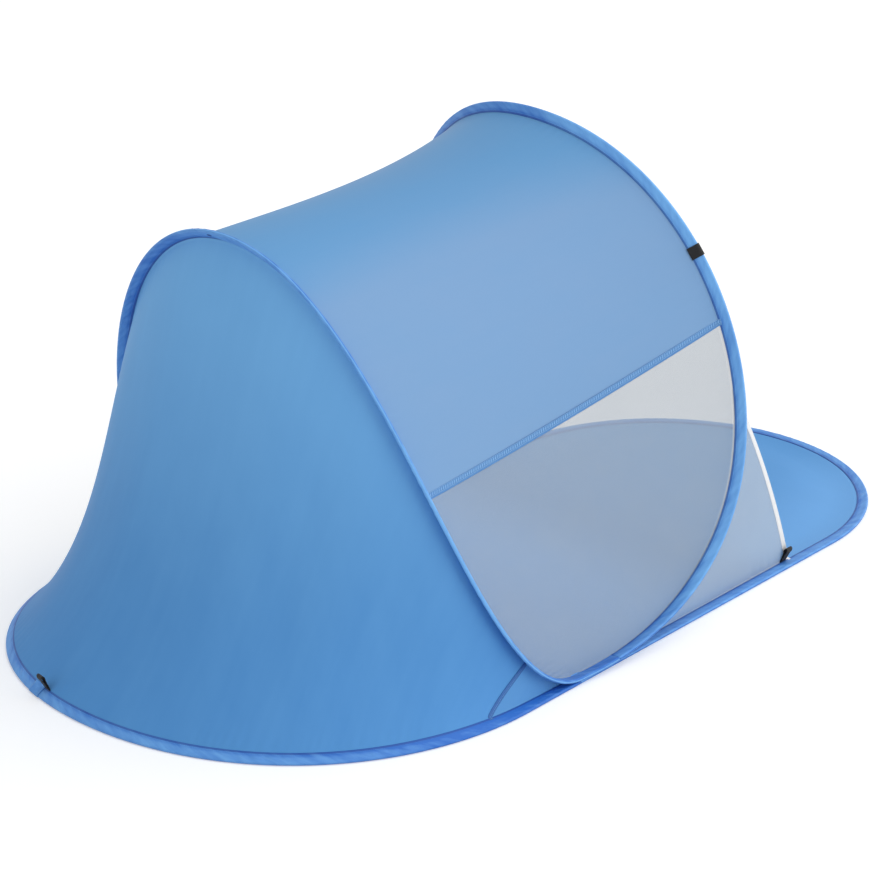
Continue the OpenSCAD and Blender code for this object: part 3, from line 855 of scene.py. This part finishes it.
# Roof: one cut of blue cloth stretched between the two arches from hem to hem. It is sewn into
# both sleeves and dips a little between them; its lower edges are folded into hems.
roof_dip, roof_low, window_dip = 0.0270, 0.5, 0.0185
roof_hem_width = 0.0145
hem_sag, hem_reach = 0.012, 0.30
seam_pucker, seam_pitch, seam_stray = 0.0007, 0.024, 2.2
seam_reach, seam_clear = 0.028, 0.004
drift, drift_pitch = 0.0012, 0.060
# Painted light and shade: the roof's pale colour is greyer and warmer than the wall's, a painted sheen, and the roof
# is painted deeper towards the ridge, as shade.
roof_deep, roof_pale = (0.1265, 0.337, 0.622), (0.2115, 0.366, 0.603)
roof_painted_lighting = ((-0.083, 0, 1), 0.965, 0.87)


def ruling_rows(length, step=0.012):
    """Shares across a sheet, closer together by its two sewn edges, where it puckers."""
    x = np.linspace(0, 1, int(length / step))
    return x - 0.6 * np.sin(2 * np.pi * x) / (2 * np.pi)


def stretched(start, start_side, end, end_side, share, seed, rows=None, low=0.0, sag=0.0):
    """A sheet sewn between two sleeves: straight lines from mouth to mouth that dip to the cabin.

    The share of its length by which a line dips is one number or one for each line, as are low and
    sag. Each line leaves its two slots straight, dips as 4r(1-r), drawn towards its end by a low
    share, and puckers along its normal: short waves that die away from each seam, and a slow drift,
    greatest between them. It sags downwards as it dips.
    """
    a, b = slot(start, start_side, -lip), slot(end, end_side, -lip)
    length = np.linalg.norm(b - a, axis=1)[:, None]
    rows = ruling_rows(length.max()) if rows is None else rows
    d = (b - a) / length
    inward = cabin_centre - (a + b) / 2
    n = unit(inward - (inward * d).sum(1, keepdims=True) * d)
    walked = way_walked((a + b) / 2)
    belly = (4 * rows * (1 - rows))[None]
    from_seam = np.minimum(rows, 1 - rows)[None] * length
    side = np.where(rows < 0.5, 0.0, 2.0)[None]
    phase = 2 * np.pi * walked / seam_pitch + seam_stray * wander(walked / stray_pitch, seed)
    wave = np.sin(phase)[:, None]
    depth = seam_pucker * (0.6 + 0.5 * wander(walked[:, None] / depth_pitch + side, seed + 1))
    pucker = depth * wave * np.exp(-from_seam / seam_reach) * np.clip(from_seam / seam_clear, 0, 1)
    slow = drift * wander(walked / drift_pitch, seed + 2)[:, None] * belly
    drawn = 1 + np.reshape(low, (-1, 1)) * (2 * rows - 1)
    push = np.reshape(share, (-1, 1)) * length * belly * drawn + pucker + slow
    lines = a[:, None] + rows[:, None] * (b - a)[:, None] + push[..., None] * n[:, None]
    lines[..., 2] -= np.reshape(sag, (-1, 1)) * belly
    first, last = (slot(*place, grip)[:, None] for place in ((start, start_side), (end, end_side)))
    points = np.concatenate([first, lines, last], axis=1)
    gripped = grip / length.max()
    across = np.concatenate([[-gripped], rows, [1 + gripped]])[None] * length
    return points, grid_uv(walked, across)


def cut_size(points):
    """Width and length of a cut: the longest way over the sheet each way, the shorter first."""
    ways = [np.linalg.norm(np.diff(points, axis=k), axis=2).sum(axis=k).max() for k in (0, 1)]
    return tuple(sorted(ways))


def corner_size(points):
    """Height and base of a three-cornered cut: its longest way, and twice its area over that."""
    base = cut_size(points)[1]
    return 2 * area_of(points) / base, base


def dip_share(dip, start, end):
    """A dip as a share of the distance between two places."""
    return dip / np.linalg.norm(end[0, 0] - start[0, 0])


def girths(start, stop, frame_of, step=sheet_step):
    """Even steps along an arch between two girths."""
    return walk(frame_of, start, stop, step)[0]


def cloth_panel(name, node, points, uv, material, rests_on, size_of=cut_size):
    """An opaque sheet with its thickness, declared at the flat size of its cut."""
    mesh = grid_mesh(name, points, uv)
    made = piece(name, mesh, material, "blue_cloth", [node])
    thicken(made, cloth_thick)
    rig.sheet(made, flat=size_of(points), held="stretched", area=area_of(points), rests_on=rests_on)


top = np.array([0.0])
hem_line = np.array([1.0])
roof_share = dip_share(roof_dip, rear_frame(top), front_frame(top))
window_share = dip_share(window_dip, rear_frame(hem_line), front_frame(hem_line))
hem_share = (roof_share + window_share) / 2


def hung(girth, share, seed, rows=None, low=0.0):
    """Lines of the roof or a window from arch to arch.

    By the hem, within a reach of girth, both dip alike and sag, so that they meet there.
    """
    by_hem = eased(1 - np.abs(np.abs(girth) - 1) / hem_reach)
    return stretched(
        rear_frame(girth), 1, front_frame(girth), -1, share + (hem_share - share) * by_hem, seed,
        rows=rows, low=low * (1 - by_hem), sag=hem_sag * by_hem,
    )


roof_girths = girths(-1, 1, front_frame)
roof_points, roof_uv = hung(roof_girths, roof_share, 31, low=roof_low)
cloth_panel(
    "roof_cloth", "roof", roof_points, roof_uv,
    taffeta("roof_cloth", roof_deep, roof_pale, painted_lighting=roof_painted_lighting),
    ["front_arch_tape", "rear_arch_tape"],
)


# Windows: one cut of sheer white mesh on each side, hung from the roof's hem down to the foot.
# Its edge by the front arch is folded double, which shows as a pale line beside the sleeve.
# The yarn is given grey rather than white: painted shade of yarns shading one another.
mesh_shaded_grey = (0.367, 0.410, 0.455)
mesh_pitch = 0.0016
mesh_cover = 0.67
fold_white = (0.66, 0.68, 0.70)
fold_width, fold_blur = 0.0035, 0.002
fold_low, fold_fade = 0.12, 0.20
last_girth = 1.985
halves = (("near", -1.0), ("far", 1.0))


def sheer_mesh(name, yarn):
    """Knitted mesh: white yarn round rows of small holes, offset by rows, and a close edge."""
    material = bpy.data.materials.new(name)
    tree = blank_tree(material)
    uv, along, across = cloth_coordinates(tree)
    fold = tree.make("ShaderNodeAttribute", settings={"attribute_name": "fold"}, output=2)
    knit = plain_weave(tree, along, across, mesh_pitch)
    mottle = streaks(tree, uv, 6, 6)
    cover = mesh_cover + 0.22 * knit + 0.10 * (mottle - 0.5)
    cover = tree.math("MAXIMUM", cover, fold * 0.93)
    # The yarn colour comes in grey: painted shade.
    base = tone(tree, fold * 0.9 + (mottle - 0.5) * 0.08, yarn, fold_white)
    return finished(
        material, tree, base, 0.6 + 0.2 * mottle, knit, 0.0001, alpha=cover, Specular_IOR_Level=0.2
    )


def mesh_panel(name, node, points, uv, fold, rests_on, yarn=mesh_shaded_grey):
    """A sheer sheet, one surface thin; fold says where its edge is double."""
    mesh = grid_mesh(name, points, uv)
    share = np.broadcast_to(fold, points.shape[:2]).astype(np.float32)
    mesh.attributes.new("fold", "FLOAT", "POINT").data.foreach_set("value", share.ravel())
    made = piece(name, mesh, sheer_mesh(name, yarn), "white_mesh", [node])
    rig.sheet(made, flat=cut_size(points), held="stretched", area=area_of(points), rests_on=rests_on)


for (side, sign), seed in zip(halves, (41, 43)):
    drop = np.sort(sign * girths(1, last_girth, front_frame))
    points, uv = hung(drop, window_share, seed)
    to_front = np.linalg.norm(points - points[:, -2:-1], axis=-1)
    fold = np.clip((fold_width - to_front) / fold_blur + 0.5, 0, 1)
    fold = fold * eased((points[..., 2] - fold_low) / fold_fade)
    mesh_panel(
        f"window_mesh_{side}", f"window_{side}", points, uv, fold, ["front_arch_tape", "rear_arch_tape"]
    )


# Roof hems: the roof's lower edge folded over the window's top edge into a flat strip, held by two
# rows of stitches with a ladder of overlock thread between them.
hem_thick = 0.0020
hem_deep, hem_blue = (0.075, 0.215, 0.500), (0.110, 0.280, 0.580)
thread_blue = (0.230, 0.450, 0.740)
row_inset = 0.003
ladder_pitch, ladder_inset, ladder_lean, ladder_fill = 0.0065, 0.0045, 0.5, 0.36
girth_nudge = np.array([-0.01, 0, 0.01])
roof_hem_points = 120


def flat_strip(width, thick, points_across=9):
    """Outline of a flat strip with round edges: a stadium, from one edge over the top and back."""
    half = width / 2 - thick / 2
    turn = np.linspace(-np.pi / 2, np.pi / 2, 5)
    cap = thick / 2 * np.stack([np.cos(turn), np.sin(turn)], 1)
    run = np.linspace(half, -half, points_across)[1:-1, None] * [1, 0]
    return np.concatenate([
        cap + [half, 0], run + [0, thick / 2], -cap - [half, 0], -run - [0, thick / 2]
    ])


def path_frames(line, across):
    """Points of a path, its way across them and the upright way, from a rough way across."""
    along = unit(np.gradient(line, axis=0))
    across = unit(across - (across * along).sum(1, keepdims=True) * along)
    return np.stack([line, across, np.cross(along, across)], 1)


def strip(name, line, across, width, thick, material, slot_name, node):
    """A flat strip carried along a path, its width laid across it."""
    outline = flat_strip(width, thick)
    points = swept(path_frames(line, across), outline)
    uv = grid_uv(way_walked(line), way_walked(outline, closed=True))
    mesh = grid_mesh(name, points, uv, wrap=(False, True), capped=True)
    piece(name, mesh, material, slot_name, [node])


def sewn_tape(name, width, deep, light, thread, ladder=0.0):
    """A folded strip with a row of stitches by each edge, on both faces.

    A ladder is a chain of slanting overlock threads between the rows, at that pitch.
    """
    material = bpy.data.materials.new(name)
    tree = blank_tree(material)
    uv, along, across = cloth_coordinates(tree)
    mottle = streaks(tree, uv, 60, 40)
    turned = tree.math("PINGPONG", across, width)
    rows = tree.math(
        "MAXIMUM", *(stitches(tree, along, turned, row) for row in (row_inset, width - row_inset))
    )
    if ladder:
        slanting = tree.math("FRACT", (along + ladder_lean * turned) / ladder) < ladder_fill
        inside = tree.math("ABSOLUTE", turned - width / 2) < width / 2 - ladder_inset
        rows = tree.math("MAXIMUM", rows, slanting * inside)
    base = tone(tree, rows, tone(tree, mottle, deep, light), thread)
    return finished(
        material, tree, base, 0.5 + 0.2 * mottle, mottle * 0.5 + rows, 0.0004, Specular_IOR_Level=0.3
    )


for side, sign in halves:
    name = f"roof_hem_strip_{side}"
    lines, _ = hung(sign * (1 + girth_nudge), hem_share, 51, rows=np.linspace(0, 1, roof_hem_points))
    strip(
        name, lines[1], sign * (lines[2] - lines[0]), roof_hem_width, hem_thick,
        sewn_tape(name, roof_hem_width, hem_deep, hem_blue, thread_blue, ladder=ladder_pitch),
        "blue_tape", f"roof_hem_{side}",
    )


# Rear wall, gussets and their seams: the wall is one cut from the rear arch down to the ground
# sleeve. A small triangle is let in beside each foot, joined to the wall by a felled seam.
wall_dip, wall_low = 0.0685, 0.7
wall_deep, wall_light = (0.078, 0.268, 0.600), (0.185, 0.465, 0.830)
# Painted light: the wall pales towards the top, where light comes through the cloth.
wall_painted_lighting = ((0, 0, 1), 0.05, 0.90)
wall_holders = ["rear_arch_tape", "rear_ground_sleeve"]
gusset_girth = 1 + 8 / 12
gusset_step = 0.004
gusset_deep, gusset_light = (0.085, 0.275, 0.585), (0.115, 0.310, 0.620)
# Painted light: the gussets glow near the foot in place of light coming through the cloth.
gusset_glow = (0.10, (1, 0, 0), -0.30, -0.48)
gusset_seam, gusset_seam_points = 0.010, 40
seam_deep, seam_blue = (0.028, 0.115, 0.350), (0.045, 0.150, 0.410)


def wall_frame(girth):
    """Frames of the ground sleeve under the rear arch, by the arch's own girths."""
    station = np.interp(np.abs(girth), [0, gusset_girth, 2], [0, gusset_station, foot_station])
    return ground_frame(np.sign(girth) * station)


def wall_share(girth):
    """The wall's dip as a share of its lines, which dies away from the hem's girth to the foot."""
    return dip_share(wall_dip, rear_frame(top), wall_frame(top)) * eased(2 - np.abs(girth))


def wall_lines(girth, seed, rows=None):
    """Lines of the wall or a gusset from the rear arch down to the ground sleeve."""
    return stretched(
        rear_frame(girth), -1, wall_frame(girth), 1, wall_share(girth), seed, rows=rows, low=wall_low
    )


wall_points, wall_uv = wall_lines(girths(-gusset_girth, gusset_girth, rear_frame), 61)
wall_cloth = taffeta("rear_wall_cloth", wall_deep, wall_light, painted_lighting=wall_painted_lighting)
cloth_panel("rear_wall_cloth", "rear_wall", wall_points, wall_uv, wall_cloth, wall_holders)
for (side, sign), seed in zip(halves, (71, 73)):
    name = f"gusset_cloth_{side}"
    points, uv = wall_lines(sign * girths(gusset_girth, last_girth, rear_frame, gusset_step), seed)
    gusset_cloth = taffeta(name, gusset_deep, gusset_light, glow=gusset_glow)
    cloth_panel(name, f"gusset_{side}", points, uv, gusset_cloth, wall_holders, corner_size)
    name = f"gusset_seam_strip_{side}"
    lines, _ = wall_lines(
        sign * (gusset_girth + girth_nudge), 75, rows=np.linspace(0, 1, gusset_seam_points)
    )
    strip(
        name, lines[1], sign * (lines[2] - lines[0]), gusset_seam, hem_thick,
        sewn_tape(name, gusset_seam, seam_deep, seam_blue, hem_blue),
        "blue_tape", f"gusset_seam_{side}",
    )


# Wings: a mesh triangle on each side from the front arch's lower part forward to the ground sleeve,
# with its free edge bound in white tape. They shelter the mouth from the side.
wing_girth = 1 + 2 / 12
wing_belly = 0.0125
# Painted light: the wings' yarn is a lighter, bluer copy of the windows' grey yarn.
wing_yarn_lit_grey = (0.490, 0.555, 0.625)
wing_holders = ["front_arch_tape", "apron_ground_sleeve"]
wing_hem_width, wing_hem_start, wing_hem_points = 0.014, 0.026, 60
white_deep, white_light = (0.80, 0.81, 0.82), (0.90, 0.90, 0.90)
white_thread = (0.93, 0.93, 0.93)
metres_per_girth = 0.95


def wing_frame(girth):
    """Frames of the ground sleeve under the front arch, by the arch's own girths."""
    passed = (np.abs(girth) - wing_girth) / (2 - wing_girth)
    return ground_frame(np.sign(girth) * (corner_station + (foot_station - corner_station) * passed))


free_edge = np.array([wing_girth])
full_belly = dip_share(wing_belly, front_frame(free_edge), wing_frame(free_edge))


def wing_share(girth):
    """The wing's outward belly, greatest at its free edge and dying away to the foot."""
    return -full_belly * eased((2 - np.abs(girth)) / (2 - wing_girth))


def wing_lines(girth, seed, rows=None):
    """Lines of a wing or its hem from the front arch down to the ground sleeve."""
    return stretched(
        front_frame(girth), 1, wing_frame(girth), 1, wing_share(girth), seed, rows=rows
    )


hem_middle = wing_girth - wing_hem_width / 2 / metres_per_girth
for (side, sign), seed in zip(halves, (81, 83)):
    points, uv = wing_lines(np.sort(sign * girths(wing_girth, last_girth, front_frame)), seed)
    mesh_panel(f"wing_mesh_{side}", f"wing_{side}", points, uv, 0, wing_holders, wing_yarn_lit_grey)
    name = f"wing_hem_tape_{side}"
    lines, _ = wing_lines(
        sign * (hem_middle + girth_nudge[1:]), 85, rows=np.linspace(wing_hem_start, 1, wing_hem_points)
    )
    strip(
        name, lines[0, 1:], sign * (lines[1] - lines[0])[1:], wing_hem_width, hem_thick,
        sewn_tape(name, wing_hem_width, white_deep, white_light, white_thread),
        "white_tape", f"wing_hem_{side}",
    )


# Webbing: black woven tape. A loop for a peg stands on the ground sleeve behind and at each wing's
# corner, and a short length is wrapped round each shoulder of the front arch.
webbing_thick, rib_pitch = 0.0016, 0.0016
webbing_deep, webbing_light = (0.004, 0.004, 0.005), (0.020, 0.019, 0.020)
loop_width, loop_r, loop_tail = 0.020, 0.006, 0.025
loop_flat, loop_past = 0.0040, 0.28 * np.pi
loop_seat, seat_height, root_sink = -0.022, 0.0038, 0.0015
front_loop_lean, rear_loop_lean = math.radians(19), math.radians(-20)
rear_loop_y = 0.134
band_width, band_height, band_clear = 0.027, 0.786, 0.0008
wrap_reach = 0.001


def woven_black(name, width):
    """Black webbing: a herringbone of ribs across the tape."""
    material = bpy.data.materials.new(name)
    tree = blank_tree(material)
    uv, along, across = cloth_coordinates(tree)
    chevron = tree.math("PINGPONG", across, width / 4)
    rib = tree.math("SINE", (along + chevron) * (2 * math.pi / rib_pitch))
    dust = streaks(tree, uv, 120, 90)
    base = tone(tree, 0.5 * dust + 0.2 * rib + 0.15, webbing_deep, webbing_light)
    height = rib * 0.5 + dust * 0.3
    return finished(material, tree, base, 0.55 + 0.2 * dust, height, 0.0004, Specular_IOR_Level=0.4)


def strap(name, node, frame_here, route, width, thick, material, slot_name):
    """A flat tape led along a route of (out, across) places on a sleeve, its width along the rod."""
    line = swept(frame_here, route)[0]
    along = np.broadcast_to(np.cross(*frame_here[0, 1:]), line.shape)
    strip(name, line, along, width, thick, material, slot_name, node)


def loop_route(lean):
    """Up one side of a flattened teardrop, round the peg's eye and down the other, all leaning."""
    middle = np.array([0, loop_tail + loop_r])
    angle = np.linspace(-loop_past, np.pi + loop_past, 33)
    across, upwards = loop_flat * np.cos(angle), (loop_r + webbing_thick / 2) * np.sin(angle)
    eye = middle + np.stack([across, upwards], 1)
    rise = np.linspace(0, 1, 9, endpoint=False)[:, None]
    root = np.array([webbing_thick / 2, -root_sink])
    right_leg = root + rise * (eye[0] - root)
    left_leg = (right_leg * [-1, 1])[::-1]
    upright = np.concatenate([right_leg, eye, left_leg])
    turn = np.array([[math.cos(lean), -math.sin(lean)], [math.sin(lean), math.cos(lean)]])
    return upright @ turn + [loop_seat, seat_height - root_sink]


rear_loop_station = crossing(ground_curves[0], 1, rear_loop_y)
front_loop_station = corner_station - loop_width / 2 / np.linalg.norm(flank_end - flank_start)
for name, station, lean in (
    ("rear_peg_loop", rear_loop_station, rear_loop_lean),
    ("front_peg_loop_near", -front_loop_station, front_loop_lean),
    ("front_peg_loop_far", front_loop_station, front_loop_lean),
):
    strap(
        f"{name}_webbing", name, ground_frame(np.array([station])), loop_route(lean),
        loop_width, webbing_thick, woven_black(f"{name}_webbing", loop_width), "black_webbing",
    )


def wrap_route(clear):
    """Round a sleeve from mouth to mouth, a little clear of its tape."""
    return teardrop(sleeve_width + wrap_reach, bulb + clear, mouth_half + clear, legs=16, turns=15)


band_girth = np.interp(crossing(front_curve, 2, band_height), [0, front_hem], [0, 1])
for side, sign in halves:
    name = f"arch_band_webbing_{side}"
    strap(
        name, f"arch_band_{side}", front_frame(np.array([sign * band_girth])),
        wrap_route(webbing_thick / 2 + band_clear), band_width, webbing_thick,
        woven_black(name, band_width), "black_webbing",
    )


# Lap: where the two ends of the ground sleeve meet, behind the rear peg loop, a short length of
# the same tape is laid over the join, on the sleeve's upper face.
lap_length, lap_thick = 0.040, 0.0010
lap_clear, lap_gap = 0.0006, 0.004
metres_per_station = 3 * rear_tip_round
lap_route = wrap_route(lap_thick / 2 + lap_clear)
lap_route = lap_route[lap_route[:, 1] > bulb / 2]
lap_station = rear_loop_station + ((loop_width + lap_length) / 2 + lap_gap) / metres_per_station
strap(
    "ground_sleeve_lap_tape", "ground_sleeve_lap", ground_frame(np.array([lap_station])),
    lap_route, lap_length, lap_thick,
    sewn_tape("ground_sleeve_lap_tape", lap_length, tape_deep, tape_blue, thread_blue), "blue_tape",
)


# The CAD model's box and the dressed model's box, for comparison.
with open("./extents.json", "w") as size_file:
    boxes = {"cad": cad_box, "visual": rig.bounds()}
    json.dump({key: [list(corner) for corner in box] for key, box in boxes.items()}, size_file)
